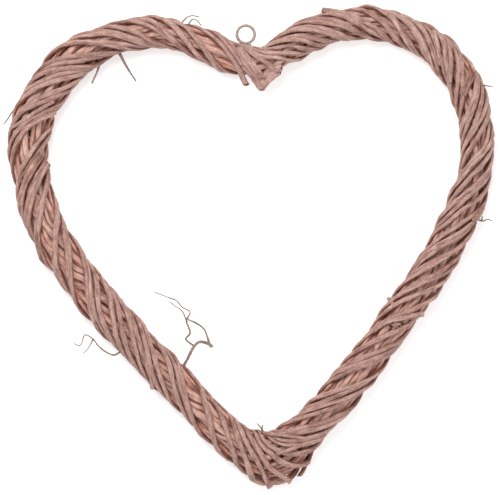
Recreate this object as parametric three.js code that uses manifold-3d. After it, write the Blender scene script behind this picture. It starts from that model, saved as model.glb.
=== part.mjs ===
// A woven willow heart, lying on its back. Millimetres, +Z up.
// Willow rods are wound in a right-hand helix round a bundle of paler inner rods that
// runs once round the heart. A thin wire ring at the top is for hanging it.
// The heart line is a chain of arcs. Distances "along" are measured on it clockwise
// from the lower tip, seen from above. "Turn angle" 0 is the outer edge of the
// weave, 90 its upper face, 180 the edge towards the opening, 270 its underside.
import * as THREE from 'three';
import * as BufferGeometryUtils from 'three/addons/utils/BufferGeometryUtils.js';
import Module from 'manifold-3d';

const wasm = await Module();
wasm.setup();

// ---------------------------------------------------------------- driving sizes
// heart line: start point, start heading, then arcs of [length, turn in degrees]
const START = [12.8, -168.4];
const HEADING = 179.3;
const ARCS = [
  [20.8, -35.0], [28.0, -9.4], [48.6, 1.5], [121.9, -8.2], [61.3, -18.2], [49.2, -17.6],   // tip and left arm
  [40.2, -32.5], [48.7, -20.8], [50.0, -30.1], [45.8, -29.9], [33.8, -1.1],                 // left lobe
  [21.3, 8.3], [20.4, 48.8],                                                                // cleft
  [23.7, -2.8], [38.1, -21.0], [48.9, -31.7], [78.1, -46.3], [39.9, -26.0], [55.1, -17.1],  // right lobe
  [67.5, -14.8], [129.5, -4.7], [24.0, -7.6], [20.0, 1.9], [23.3, -45.7],                   // right arm and tip
];
const ARC_BLEND = 14;            // length over which one arc eases into the next
const LINE_STEPS = 2276;

// half widths of the weave to the middle of its rods: [along, outward, inward]
const WIDTHS = [
  [0, 13.2, 15.9], [12, 13.4, 15.6], [25, 13.6, 12.8], [40, 13.9, 11.4], [60, 14.3, 11.5], [82, 12.9, 11.9],
  [110, 13.4, 14.0], [140, 13.0, 12.6], [165, 13.6, 13.8], [187, 14.3, 14.0], [212, 12.8, 13.9], [240, 13.7, 13.2],
  [270, 13.5, 13.1], [300, 13.0, 13.8], [330, 13.3, 14.2], [355, 14.3, 16.4], [385, 13.0, 14.6], [416, 15.3, 13.8],
  [441, 11.4, 11.6], [475, 11.2, 11.6], [510, 10.9, 9.4], [550, 11.6, 11.2], [590, 10.8, 11.2], [620, 12.0, 11.8],
  [645, 11.4, 11.0], [659, 10.3, 10.8], [680, 11.0, 10.8], [705, 10.8, 11.6], [740, 12.8, 10.2], [775, 13.3, 10.4],
  [803, 12.2, 11.2], [830, 13.6, 9.2], [860, 15.0, 10.0], [900, 12.9, 11.8], [950, 13.7, 11.6], [985, 13.8, 12.2],
  [1013, 12.9, 11.2], [1040, 13.8, 12.1], [1070, 13.8, 12.5], [1095, 13.4, 12.9], [1115, 13.3, 15.4],
];
const DEPTH = 15.5;              // from the heart line down to the flats it rests on
const TIP_FAN = 14.0;            // how much further the rods reach out at the tip
const TIP_FAN_AT = -3;
const TIP_FAN_SPREAD = [23, 15]; // before the tip and past it
const TIP_STEEP = 0.40;          // the rods cross the upper face there more steeply, and straight
const TIP_STEEP_AT = 10;
const TIP_STEEP_SPREAD = 45;
const TIP_STRAIGHT = 1.0;

// the winding: bundles of rods crossing the upper face, [along, rods, spacing]
const BUNDLES = [
  [6, 3, 8.7], [38, 2, 18.9], [81, 2, 8.2], [100, 2, 18.6], [127, 2, 10.2], [145, 2, 14.2], [170, 2, 17.0],
  [197, 2, 8.2], [224, 2, 8.0], [243, 2, 7.7], [272, 2, 8.2], [290, 5, 7.9], [346, 2, 12.3], [366, 3, 12.0],
  [398, 4, 7.9], [435, 2, 8.2], [454, 3, 8.1], [487, 3, 11.9], [522, 2, 7.9], [551, 2, 12.0], [578, 2, 9.5],
  [595, 2, 10.5], [613, 7, 8.2], [670, 2, 16.5], [696, 5, 7.8], [736, 4, 11.4], [786, 5, 7.7], [832, 3, 7.7],
  [858, 2, 12.5], [878, 2, 15.6], [901, 2, 7.7], [919, 2, 7.7], [939, 2, 7.7], [958, 2, 19.8], [1000, 2, 16.0],
  [1024, 2, 7.7], [1053, 4, 7.7], [1093, 4, 8.1], [1126, 2, 8.9],
];
const STRANDS = 12;              // rods side by side round the weave
const ROD_MAX = 4.8;             // rod thickness where there is room
const ROD_SPREAD = 0.7;         // thinner rods among them, by up to this much
const ROD_MIN = 1.5;             // where rods are pressed together
const TIP_THICKER = 1.0;         // the rods at the tip are thicker ones, by up to this much
const TIP_THICK_SPREAD = 36;
const ROD_GAP = 0.5;            // clear space kept between neighbours
const END_GAP = 0.02;            // between one rod's end and the next rod's start, in turns
const HEAD_GAP = 0.16;           // the same before a rod whose cut end stands out
const ROD_SIDES = 5;
const RING_ANGLES = [16.7, 65.6, 114.4, 163.3, 212.1, 261, 279, 327.9];

// where each rod of a strand starts, in turns
const ROD_STARTS = [
  [-0.25, 4.85, 9.5, 13.5, 18.5, 22.5, 26.5, 30.5],
  [-0.25, 2.5, 4.5, 9.5, 13.5, 18.5, 22.5, 26.75, 30.5],
  [2.5, 7.5, 12.5, 17.5, 22.5, 28.5, 30.5],
];
// cut ends that run straight out of the weave: [strand, start in turns, where it joins the winding, x, y, z]
const HEADS = [
  [0, -0.25, -0.04, 32.1, -192.0, 3.0],      // at the tip
  [1, -0.25, -0.04, 15.4, -197.0, 2.0],
  [1, 26.75, 26.86, -81.2, -115.6, 2.5],     // outside the left arm
  [0, 4.85, 4.90, 58.4, 195.6, 3.6],         // outside the right lobe
];
// and those where a rod leaves the winding: [strand, turns, x, y, z]
const TAILS = [
  [2, 30.02, -4.5, 134.1, 9.0],              // three at the cleft
  [0, 4.02, 8.6, 130.0, 8.0],
  [1, 3.98, 21.8, 143.4, 10.0],
  [2, 28.10, -167.0, 69.5, 5.0],             // inside the left lobe
];
const CLEFT_AT = 594;            // rods near the cleft are drawn towards it
const CLEFT_PULL = 11;
const CLEFT_SPREAD = 46;

// inner rods
const INNER_RODS = 5;
const INNER_ROD = 4.0;
const INNER_SET_IN = 5.2;        // below the middle of the winding rods
const INNER_TWISTS = 4;          // round the bundle, against the winding
const INNER_SIDES = 4;
const INNER_GAP = 4;
const INNER_FAN = 0.55;          // how far they follow the winding out at the tip, as a share

// hanging ring
const RING_CENTRE = [-4.7, 175.8];
const RING_RADIUS = 7.3;
const RING_WIRE = 2.1;
const TAIL = 2.3;               // the ends of the wire go down into the weave

const ease = (t) => { const c = Math.min(1, Math.max(0, t)); return c * c * (3 - 2 * c); };

// ---------------------------------------------------------------- heart line
const LENGTH = ARCS.reduce((sum, arc) => sum + arc[0], 0);
const DS = LENGTH / LINE_STEPS;

function heartLine() {
  const n = LINE_STEPS;
  const total = ARCS.reduce((sum, arc) => sum + arc[1], 0);
  const raw = (along) => {
    let turns = 0;
    let left = along;
    while (left < 0) { left += LENGTH; turns -= 1; }
    while (left > LENGTH) { left -= LENGTH; turns += 1; }
    let angle = turns * total;
    for (const [length, turn] of ARCS) {
      if (left <= length) return angle + turn * left / length;
      left -= length;
      angle += turn;
    }
    return angle;
  };
  const half = Math.round(ARC_BLEND / DS / 2);
  let heading = [];
  const pad = 2 * half;
  for (let i = -pad; i <= n + pad; i++) heading.push(raw(i * DS));
  for (let pass = 0; pass < 2; pass++) {
    const next = [];
    for (let i = half; i < heading.length - half; i++) {
      let sum = 0;
      for (let k = -half; k <= half; k++) sum += heading[i + k];
      next.push(sum / (2 * half + 1));
    }
    heading = next;
  }
  const x = [START[0]];
  const y = [START[1]];
  const a = heading.map((h) => THREE.MathUtils.degToRad(h + HEADING));
  for (let i = 0; i < n; i++) {
    const mid = (a[i] + a[i + 1]) / 2;
    x.push(x[i] + Math.cos(mid) * DS);
    y.push(y[i] + Math.sin(mid) * DS);
  }
  const ex = x[n] - x[0];
  const ey = y[n] - y[0];
  for (let i = 0; i <= n; i++) { x[i] -= ex * i / n; y[i] -= ey * i / n; }
  return { x, y, a };
}
const line = heartLine();

function lineAt(along) {
  const w = ((along % LENGTH) + LENGTH) % LENGTH / DS;
  const i = Math.min(Math.floor(w), LINE_STEPS - 1);
  const f = w - i;
  const angle = line.a[i] + (line.a[i + 1] - line.a[i]) * f;
  return {
    centre: new THREE.Vector3(line.x[i] + (line.x[i + 1] - line.x[i]) * f, line.y[i] + (line.y[i + 1] - line.y[i]) * f, 0),
    out: new THREE.Vector3(-Math.sin(angle), Math.cos(angle), 0),
    ahead: new THREE.Vector3(Math.cos(angle), Math.sin(angle), 0),
  };
}

function widthAt(along, side) {
  const s = ((along % LENGTH) + LENGTH) % LENGTH;
  const rows = [...WIDTHS, [LENGTH, WIDTHS[0][1], WIDTHS[0][2]]];
  let k = 0;
  while (rows[k + 1][0] < s) k++;
  const f = (s - rows[k][0]) / (rows[k + 1][0] - rows[k][0]);
  const e = f * f * (3 - 2 * f);
  let w = rows[k][side] + (rows[k + 1][side] - rows[k][side]) * e;
  return side === 1 ? w + tipFan(s) : w;
}
function tipFan(along) {
  const s = ((along % LENGTH) + LENGTH) % LENGTH;
  const d = (s > LENGTH / 2 ? s - LENGTH : s) - TIP_FAN_AT;
  return TIP_FAN * Math.exp(-((d / TIP_FAN_SPREAD[d < 0 ? 0 : 1]) ** 2));
}

// ---------------------------------------------------------------- winding
const CROSSINGS = BUNDLES.flatMap(([first, count, step]) => Array.from({ length: count }, (_, k) => first + k * step));
const COUNT = CROSSINGS.length;
const QUARTER = LENGTH / COUNT * STRANDS / 4;   // a quarter of a turn, along the heart
const crossing = (i) => CROSSINGS[((i % COUNT) + COUNT) % COUNT] + LENGTH * Math.floor(i / COUNT);

// distance along the heart after so many turns of a strand
function alongAt(strand, turns) {
  const n = Math.floor(turns);
  const f = turns - n;
  const p = [-1, 0, 1, 2].map((k) => crossing(strand + STRANDS * (n + k)));
  const m0 = (p[2] - p[0]) / 2;
  const m1 = (p[3] - p[1]) / 2;
  const f2 = f * f;
  const f3 = f2 * f;
  return (2 * f3 - 3 * f2 + 1) * p[1] + (f3 - 2 * f2 + f) * m0 + (-2 * f3 + 3 * f2) * p[2] + (f3 - f2) * m1;
}

// a point on a strand, the way out from the heart line there, and the turn angle
function strandPoint(strand, turns, radius) {
  const angle = (turns - Math.floor(turns)) * 360 + 90;
  const a = THREE.MathUtils.degToRad(angle);
  let s = alongAt(strand, turns);
  const local = ((s % LENGTH) + LENGTH) % LENGTH;
  const past = ((angle - 90) % 360 + 360) % 360;
  const pulled = past < 90 ? ease(past / 90) : 1 - ease((past - 90) / 220);
  s -= CLEFT_PULL * pulled * Math.exp(-(((local - CLEFT_AT) / CLEFT_SPREAD) ** 2));
  // at the tip the upper half of a turn takes up less of the heart's length, and the lower half more
  const nearest = Math.round(turns);
  const off = turns - nearest;
  const top = ((crossing(strand + STRANDS * nearest) % LENGTH) + LENGTH) % LENGTH;
  const near = Math.exp(-((((top > LENGTH / 2 ? top - LENGTH : top) - TIP_STEEP_AT) / TIP_STEEP_SPREAD) ** 2));
  s -= TIP_STEEP * near * QUARTER * (Math.abs(off) <= 0.25 ? 4 * off : Math.sign(off) * (2 - 4 * Math.abs(off)));
  if (Math.abs(off) < 0.25) {
    s += TIP_STRAIGHT * near * (1 - TIP_STEEP * near) * QUARTER * (Math.sin(2 * Math.PI * off) - 4 * off);
  }
  const at = lineAt(s);
  const side = Math.cos(a) > 0 ? 1 : 2;
  // what the rods reach out further at the tip they reach above the heart's middle, and fold back below it
  const fan = side === 1 ? tipFan(s) : 0;
  const across = 1.03 * (Math.cos(a) * (widthAt(s, side) - fan) + fan * (Math.sin(a) < 0 ? Math.cos(a) ** 4 : Math.cos(a)));
  const full = Math.sin(THREE.MathUtils.degToRad(81));   // the flats lie between 261 and 279 degrees
  const up = Math.max(Math.sin(a), -full) * (DEPTH - radius * Math.cos(Math.PI / ROD_SIDES)) / full;
  const point = at.centre.clone().addScaledVector(at.out, across);
  point.z = up;
  const radial = at.out.clone().multiplyScalar(Math.cos(a));
  radial.z = Math.sin(a);
  return { point, radial, angle: ((angle % 360) + 360) % 360, ahead: at.ahead };
}

function rodStations(strand, from, to) {
  const list = [from];
  for (let n = Math.floor(from) - 1; n <= Math.ceil(to) + 1; n++) {
    for (const angle of RING_ANGLES) {
      const t = n + (angle - 90) / 360;
      if (t > from + 0.035 && t < to - 0.035) list.push(t);
    }
  }
  list.push(to);
  return list.sort((p, q) => p - q);
}

// every rod: its strand, its two ends in turns, and where the wound part of it starts and stops
const rods = [];
ROD_STARTS.forEach((starts, strand) => {
  starts.forEach((from, k) => {
    const next = k === starts.length - 1 ? starts[0] + COUNT / ROD_STARTS.length : starts[k + 1];
    const rod = { strand, from, to: next - (HEADS.some(([s, start]) => s === strand && start > 0 && start === next) ? HEAD_GAP : END_GAP) };
    for (const [s, start, join, x, y, z] of HEADS) {
      if (s === strand && start === from) { rod.head = new THREE.Vector3(x, y, z); rod.from = join; }
    }
    for (const [s, turns, x, y, z] of TAILS) {
      if (s === strand && turns > from && turns < next) { rod.tail = new THREE.Vector3(x, y, z); rod.to = turns; }
    }
    rods.push(rod);
  });
});

// stations on the way from the winding to a cut end, which leaves it along the rod's own direction
function runOut(rod, turns, end, radius) {
  const from = strandPoint(rod.strand, turns, radius);
  const step = end === rod.tail ? 0.01 : -0.01;
  const way = strandPoint(rod.strand, turns + step, radius).point.sub(from.point).normalize();
  const length = end.distanceTo(from.point);
  const straight = end.clone().sub(from.point);
  const curve = new THREE.CubicBezierCurve3(
    from.point, from.point.clone().addScaledVector(way, length / 3), end.clone().addScaledVector(straight, -1 / 3), end,
  );
  const count = Math.max(2, Math.round(length / 9));
  return Array.from({ length: count }, (_, i) => (
    { point: curve.getPoint((i + 1) / count), radial: from.radial, angle: from.angle, radius }
  ));
}

// each rod has a thickness of its own, and is pressed thinner where its neighbours crowd it
const SAMPLES = 40;              // a turn, for measuring the room
rods.forEach((rod, i) => {
  rod.thickness = ROD_MAX - ROD_SPREAD * ((i * 7) % 5) / 4;
  const steps = Math.ceil((rod.to - rod.from) * SAMPLES);
  const turns = rodStations(rod.strand, rod.from, rod.to);
  const corners = turns.map((t) => strandPoint(rod.strand, t, ROD_MAX / 2).point);
  rod.middle = Array.from({ length: steps + 1 }, (_, k) => {
    const t = rod.from + (rod.to - rod.from) * k / steps;
    let j = 0;
    while (j < turns.length - 2 && turns[j + 1] < t) j++;
    return { t, point: corners[j].clone().lerp(corners[j + 1], (t - turns[j]) / (turns[j + 1] - turns[j])) };
  });
  if (rod.head) rod.middle.unshift(...runOut(rod, rod.from, rod.head, ROD_MAX / 2).map(({ point }) => ({ t: rod.from, point })).reverse());
  if (rod.tail) rod.middle.push(...runOut(rod, rod.to, rod.tail, ROD_MAX / 2).map(({ point }) => ({ t: rod.to, point })));
  rod.before = rod.middle.length - steps - 1 - (rod.tail ? runOut(rod, rod.to, rod.tail, 1).length : 0);
  rod.steps = steps;
});
const SPAN = COUNT / ROD_STARTS.length;
for (const rod of rods) {
  rod.room = rod.middle.map(({ t, point }) => {
    let near = Infinity;
    for (const other of rods) {
      if (other === rod) continue;
      for (const q of other.middle) {
        if (Math.abs(point.x - q.point.x) > 6 || Math.abs(point.y - q.point.y) > 6) continue;
        const apart = ((q.t - t) % SPAN + SPAN) % SPAN;
        if (other.strand === rod.strand && Math.min(apart, SPAN - apart) < 0.3) continue;
        near = Math.min(near, point.distanceTo(q.point));
      }
    }
    return near - ROD_GAP;
  });
}
function thicknessAt(rod, t) {
  const k = rod.before + (t - rod.from) / (rod.to - rod.from) * rod.steps;
  const reach = SAMPLES * 0.13;
  const along = ((alongAt(rod.strand, t) % LENGTH) + LENGTH) % LENGTH;
  let least = rod.thickness + TIP_THICKER * Math.exp(-((Math.min(along, LENGTH - along) / TIP_THICK_SPREAD) ** 2));
  for (let i = Math.max(0, Math.floor(k - reach)); i <= Math.min(rod.room.length - 1, Math.ceil(k + reach)); i++) {
    least = Math.min(least, rod.room[i]);
  }
  return Math.max(ROD_MIN, least);
}

// ---------------------------------------------------------------- swept tubes
// stations: { point, radial, flat } with a radius each; closed at both ends
function sweep(stations, sides) {
  const points = stations.map((s) => s.point);
  const position = [];
  const index = [];
  const n = points.length;
  for (let i = 0; i < n; i++) {
    const t = new THREE.Vector3();
    if (i > 0) t.add(points[i].clone().sub(points[i - 1]).normalize());
    if (i < n - 1) t.add(points[i + 1].clone().sub(points[i]).normalize());
    t.normalize();
    let e;
    let b;
    if (stations[i].flat) {
      e = new THREE.Vector3(0, 0, -1);
      b = new THREE.Vector3().crossVectors(t, e).normalize();
    } else {
      b = new THREE.Vector3().crossVectors(t, stations[i].radial).normalize();
      e = new THREE.Vector3().crossVectors(b, t).normalize();
    }
    const r = stations[i].radius;
    for (let k = 0; k < sides; k++) {
      const q = Math.PI * (2 * k + 1) / sides;
      const v = points[i].clone().addScaledVector(e, r * Math.cos(q)).addScaledVector(b, r * Math.sin(q));
      position.push(v.x, v.y, v.z);
    }
  }
  for (let i = 0; i < n - 1; i++) {
    for (let k = 0; k < sides; k++) {
      const a = i * sides + k;
      const b = i * sides + (k + 1) % sides;
      index.push(a, b, b + sides, a, b + sides, a + sides);
    }
  }
  for (let k = 1; k < sides - 1; k++) {
    index.push(0, k + 1, k);
    const o = (n - 1) * sides;
    index.push(o, o + k, o + k + 1);
  }
  return solid(position, index);
}

// faces turned outwards if the volume comes out negative
function solid(position, index) {
  let volume = 0;
  const v = (i) => new THREE.Vector3(position[3 * i], position[3 * i + 1], position[3 * i + 2]);
  for (let i = 0; i < index.length; i += 3) {
    volume += v(index[i]).dot(v(index[i + 1]).cross(v(index[i + 2])));
  }
  if (volume < 0) for (let i = 0; i < index.length; i += 3) [index[i + 1], index[i + 2]] = [index[i + 2], index[i + 1]];
  const geometry = new THREE.BufferGeometry();
  geometry.setAttribute('position', new THREE.Float32BufferAttribute(position, 3));
  geometry.setIndex(index);
  return geometry;
}

function joined(parts) {
  const solids = parts.map((part) => {
    const g = BufferGeometryUtils.mergeVertices(part.clone());
    return new wasm.Manifold(new wasm.Mesh({
      numProp: 3,
      vertProperties: new Float32Array(g.attributes.position.array),
      triVerts: new Uint32Array(g.index.array),
    }));
  });
  const mesh = solids.reduce((whole, next) => whole.add(next)).getMesh();
  return solid(Array.from(mesh.vertProperties), Array.from(mesh.triVerts));
}

// a twig along a smooth line through a few places, thinner towards its end
function twig(places, thick, thin, level, steps) {
  const curve = new THREE.CatmullRomCurve3(places.map(([x, y, z = 0]) => new THREE.Vector3(x, y, level + z)), false, 'centripetal');
  const points = curve.getPoints(steps);
  return sweep(points.map((point, i) => (
    { point, radial: new THREE.Vector3(0, 0, 1), radius: (thick + (thin - thick) * i / steps) / 2 }
  )), 4);
}

// ---------------------------------------------------------------- materials
const bark = () => new THREE.MeshStandardMaterial({ color: 0xa98378, roughness: 0.78, metalness: 0 });
const peeled = () => new THREE.MeshStandardMaterial({ color: 0xd9b09a, roughness: 0.75, metalness: 0 });
const twigWood = () => new THREE.MeshStandardMaterial({ color: 0x8f8078, roughness: 0.8, metalness: 0 });
const paintedWire = () => new THREE.MeshStandardMaterial({ color: 0xb5a29b, roughness: 0.5, metalness: 0.3 });

const pieces = [];
const addPiece = (name, geometry, material) => {
  const mesh = new THREE.Mesh(geometry, material);
  mesh.name = name;
  pieces.push(mesh);
};
const two = (n) => String(n).padStart(2, '0');

// ---------------------------------------------------------------- winding rods
rods.forEach((rod, i) => {
  const stations = rodStations(rod.strand, rod.from, rod.to).map((t) => {
    const radius = thicknessAt(rod, t) / 2;
    const at = strandPoint(rod.strand, t, radius);
    at.flat = Math.abs(at.angle - 270) < 9.5;
    at.radius = radius;
    return at;
  });
  if (rod.head) stations.unshift(...runOut(rod, rod.from, rod.head, thicknessAt(rod, rod.from) / 2).reverse());
  if (rod.tail) stations.push(...runOut(rod, rod.to, rod.tail, thicknessAt(rod, rod.to) / 2));
  addPiece(`winding_rod_${two(i + 1)}`, sweep(stations, ROD_SIDES), bark());
});

// ---------------------------------------------------------------- inner rods
for (let k = 0; k < INNER_RODS; k++) {
  const start = LENGTH * (0.07 + k / INNER_RODS);
  const end = start + LENGTH - INNER_GAP;
  const stations = [];
  let s = start;
  while (s < end) {
    const here = ((s % LENGTH) + LENGTH) % LENGTH;
    const atTip = Math.min(here, LENGTH - here) < 45;
    const atCleft = Math.abs(here - 577) < 42;
    stations.push(s);
    s += atTip || atCleft ? 15 : (here > 300 && here < 870 ? 33 : 44);
  }
  if (end - stations[stations.length - 1] < 8) stations.pop();
  stations.push(end);
  const path = stations.map((along) => {
    const at = lineAt(along);
    const out = widthAt(along, 1) - tipFan(along);
    const inn = widthAt(along, 2);
    const a = 2 * Math.PI * (k / INNER_RODS - INNER_TWISTS * along / LENGTH);
    const reach = Math.cos(a) > 0 ? Math.cos(a) ** (Math.sin(a) < 0 ? 9 : 1) : 0;
    const across = (out - inn) / 2 + Math.cos(a) * ((out + inn) / 2 - INNER_SET_IN) + reach * INNER_FAN * tipFan(along);
    const point = at.centre.clone().addScaledVector(at.out, across);
    point.z = Math.sin(a) * (DEPTH - ROD_MAX / 2 - INNER_SET_IN);
    const radial = at.out.clone().multiplyScalar(Math.cos(a));
    radial.z = Math.sin(a);
    return { point, radial, radius: INNER_ROD / 2 };
  });
  addPiece(`inner_rod_${two(k + 1)}`, sweep(path, INNER_SIDES), peeled());
}

// ---------------------------------------------------------------- hanging ring
{
  const centre = new THREE.Vector3(RING_CENTRE[0], RING_CENTRE[1], 0);
  const steps = 16;
  const stations = [];
  const first = THREE.MathUtils.degToRad(-68);
  for (let i = 0; i <= steps; i++) {
    const f = i / steps;
    const a = first + f * Math.PI * 2 * 0.995;
    const point = new THREE.Vector3(Math.cos(a), Math.sin(a), 0).multiplyScalar(RING_RADIUS).add(centre);
    point.z = 1.25 - 2.5 * f;
    stations.push({ point, radial: new THREE.Vector3(0, 0, 1), radius: RING_WIRE / 2 });
  }
  // the two tails go down into the weave beside each other
  const tail = (p, dx, dz) => ({ point: new THREE.Vector3(p.x + dx, p.y - TAIL, p.z + dz), radial: new THREE.Vector3(0, 0, 1), radius: RING_WIRE / 2 });
  stations.unshift(tail(stations[0].point, 1.0, 0.5));
  stations.push(tail(stations[stations.length - 1].point, -0.6, -0.5));
  addPiece('hanging_ring', sweep(stations, 5), paintedWire());
}

// ---------------------------------------------------------------- stray twigs
// small shoots that stand out of the weave, level with its middle
const px = (x, y, z = 0) => [(x - 251.5) * 0.823, (248 - y) * 0.823, z];
addPiece('forked_twig_inside_left', joined([
  twig([px(187, 360), px(193, 348), px(199, 342), px(209, 344), px(212, 347)], 2.4, 2.6, 0, 5),
  twig([px(208.5, 344), px(207, 336), px(204, 329), px(196, 323), px(186.5, 319)], 1.7, 1.4, 0, 5),
  twig([px(187, 319), px(190, 312), px(182, 307), px(167, 297), px(154, 292)], 1.5, 1.0, 0, 5),
  twig([px(194.5, 345), px(188, 339), px(190, 333), px(186, 321.5)], 1.8, 1.5, 0, 4),
  twig([px(187, 322), px(185, 315), px(175, 306), px(169, 301)], 1.4, 1.0, 0, 4),
]), twigWood());
addPiece('curly_twig_outside_left', joined([
  twig([px(119, 352.5), px(114, 355), px(106, 352), px(98, 345.5), px(93, 339), px(85, 335), px(81, 344.5), px(74, 343.5)], 1.6, 1.2, 0, 10),
  twig([px(93, 339.5), px(91, 343.5), px(86, 351), px(83.5, 353)], 1.4, 1.0, 0, 4),
]), twigWood());
addPiece('thorn_under_left_lobe', twig([px(122.2, 58), px(128, 69), px(136, 81)], 2.6, 1.7, 0, 3), twigWood());
addPiece('shoot_under_left_lobe', twig([px(99.6, 64.5), px(97, 72), px(92, 83)], 2.1, 1.6, 0, 3), twigWood());
addPiece('shoot_outside_left_lobe', twig([px(11.5, 113), px(7, 120), px(3.6, 124)], 1.5, 1.1, 0, 3), twigWood());
addPiece('shoot_on_left_lobe', twig([px(184.6, 20), px(188, 17.2), px(192, 16), px(199, 17)], 1.5, 1.1, 3, 4), twigWood());
addPiece('shoot_on_left_lobe_2', twig([px(189, 23), px(192, 19.5), px(196.5, 20), px(201, 25)], 1.5, 1.1, -3, 4), twigWood());
addPiece('shoot_outside_right_lobe', twig([px(485.5, 85.5), px(489, 86.2), px(493, 87)], 1.3, 1.1, 0, 3), twigWood());
addPiece('shoot_outside_right_arm', twig([px(478.5, 220), px(483, 221), px(488, 219.4), px(492, 221)], 1.5, 1.1, 0, 4), twigWood());
addPiece('shoot_at_inner_corner', twig([px(261, 427.5), px(259, 425.5), px(257, 423.5)], 1.7, 1.2, 0, 2), twigWood());

// ---------------------------------------------------------------- placing
// the middle of the box under the part becomes the origin
const whole = new THREE.Box3();
for (const mesh of pieces) {
  mesh.geometry.computeBoundingBox();
  whole.union(mesh.geometry.boundingBox);
}
const heart = new THREE.Group();
heart.name = 'willow_heart';
for (const mesh of pieces) {
  mesh.geometry.translate(-(whole.min.x + whole.max.x) / 2, -(whole.min.y + whole.max.y) / 2, -whole.min.z);
  mesh.geometry.computeVertexNormals();
  heart.add(mesh);
}
heart.userData = {
  triangles: pieces.reduce((sum, mesh) => sum + mesh.geometry.index.count / 3, 0),
  shift: [-(whole.min.x + whole.max.x) / 2, -(whole.min.y + whole.max.y) / 2, -whole.min.z],
};

export default heart;
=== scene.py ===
"""A heart wound from willow rods, dusty rose, lying on its back and seen from straight above.

The heart line, the winding and the inner rods are worked out here as in the construction model, in
millimetres, and every piece is then placed in the shared frame in metres. "Turn angle" 0 is the outer
edge of the weave, 90 its upper face, 180 the edge towards the opening and 270 its underside.
"""

import math

import bpy
import numpy as np
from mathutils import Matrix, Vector


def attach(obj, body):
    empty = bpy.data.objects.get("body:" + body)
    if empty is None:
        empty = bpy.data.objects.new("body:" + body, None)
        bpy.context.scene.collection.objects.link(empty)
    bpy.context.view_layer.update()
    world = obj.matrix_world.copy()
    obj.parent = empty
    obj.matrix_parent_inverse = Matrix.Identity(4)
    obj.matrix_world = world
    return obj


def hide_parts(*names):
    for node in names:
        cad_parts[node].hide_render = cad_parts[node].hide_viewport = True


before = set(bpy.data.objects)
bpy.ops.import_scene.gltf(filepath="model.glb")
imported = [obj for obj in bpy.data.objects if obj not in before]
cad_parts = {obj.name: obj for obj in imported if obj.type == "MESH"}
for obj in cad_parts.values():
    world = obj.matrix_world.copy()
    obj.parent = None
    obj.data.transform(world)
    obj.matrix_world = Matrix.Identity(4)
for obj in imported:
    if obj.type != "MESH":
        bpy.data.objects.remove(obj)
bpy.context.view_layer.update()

# ------------------------------------------------------------------ sizes, mm
SHIFT = np.array([2.741, 0.232, 15.5])      # from the heart line's own frame to the shared one
START = (12.8, -168.4)
HEADING = 179.3
ARCS = [
    (20.8, -35.0), (28.0, -9.4), (48.6, 1.5), (121.9, -8.2), (61.3, -18.2), (49.2, -17.6),
    (40.2, -32.5), (48.7, -20.8), (50.0, -30.1), (45.8, -29.9), (33.8, -1.1),
    (21.3, 8.3), (20.4, 48.8),
    (23.7, -2.8), (38.1, -21.0), (48.9, -31.7), (78.1, -46.3), (39.9, -26.0), (55.1, -17.1),
    (67.5, -14.8), (129.5, -4.7), (24.0, -7.6), (20.0, 1.9), (23.3, -45.7),
]
ARC_BLEND = 14.0
LINE_STEPS = 2276
WIDTHS = [
    (0, 13.2, 15.9), (12, 13.4, 15.6), (25, 13.6, 12.8), (40, 13.9, 11.4), (60, 14.3, 11.5), (82, 12.9, 11.9),
    (110, 13.4, 14.0), (140, 13.0, 12.6), (165, 13.6, 13.8), (187, 14.3, 14.0), (212, 12.8, 13.9), (240, 13.7, 13.2),
    (270, 13.5, 13.1), (300, 13.0, 13.8), (330, 13.3, 14.2), (355, 14.3, 16.4), (385, 13.0, 14.6), (416, 15.3, 13.8),
    (441, 11.4, 11.6), (475, 11.2, 11.6), (510, 10.9, 9.4), (550, 11.6, 11.2), (590, 10.8, 11.2), (620, 12.0, 11.8),
    (645, 11.4, 11.0), (659, 10.3, 10.8), (680, 11.0, 10.8), (705, 10.8, 11.6), (740, 12.8, 10.2), (775, 13.3, 10.4),
    (803, 12.2, 11.2), (830, 13.6, 9.2), (860, 15.0, 10.0), (900, 12.9, 11.8), (950, 13.7, 11.6), (985, 13.8, 12.2),
    (1013, 12.9, 11.2), (1040, 13.8, 12.1), (1070, 13.8, 12.5), (1095, 13.4, 12.9), (1115, 13.3, 15.4),
]
DEPTH = 15.5
TIP_FAN, TIP_FAN_AT, TIP_FAN_SPREAD = 14.0, -3.0, (23.0, 15.0)
TIP_STEEP, TIP_STEEP_AT, TIP_STEEP_SPREAD, TIP_STRAIGHT = 0.40, 10.0, 45.0, 1.0
BUNDLES = [
    (6, 3, 8.7), (38, 2, 18.9), (81, 2, 8.2), (100, 2, 18.6), (127, 2, 10.2), (145, 2, 14.2), (170, 2, 17.0),
    (197, 2, 8.2), (224, 2, 8.0), (243, 2, 7.7), (272, 2, 8.2), (290, 5, 7.9), (346, 2, 12.3), (366, 3, 12.0),
    (398, 4, 7.9), (435, 2, 8.2), (454, 3, 8.1), (487, 3, 11.9), (522, 2, 7.9), (551, 2, 12.0), (578, 2, 9.5),
    (595, 2, 10.5), (613, 7, 8.2), (670, 2, 16.5), (696, 5, 7.8), (736, 4, 11.4), (786, 5, 7.7), (832, 3, 7.7),
    (858, 2, 12.5), (878, 2, 15.6), (901, 2, 7.7), (919, 2, 7.7), (939, 2, 7.7), (958, 2, 19.8), (1000, 2, 16.0),
    (1024, 2, 7.7), (1053, 4, 7.7), (1093, 4, 8.1), (1126, 2, 8.9),
]
STRANDS = 12
ROD_MAX, ROD_SPREAD = 4.8, 0.7
TIP_THICKER, TIP_THICK_SPREAD = 1.9, 36.0
END_GAP, HEAD_GAP = 0.02, 0.16
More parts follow.
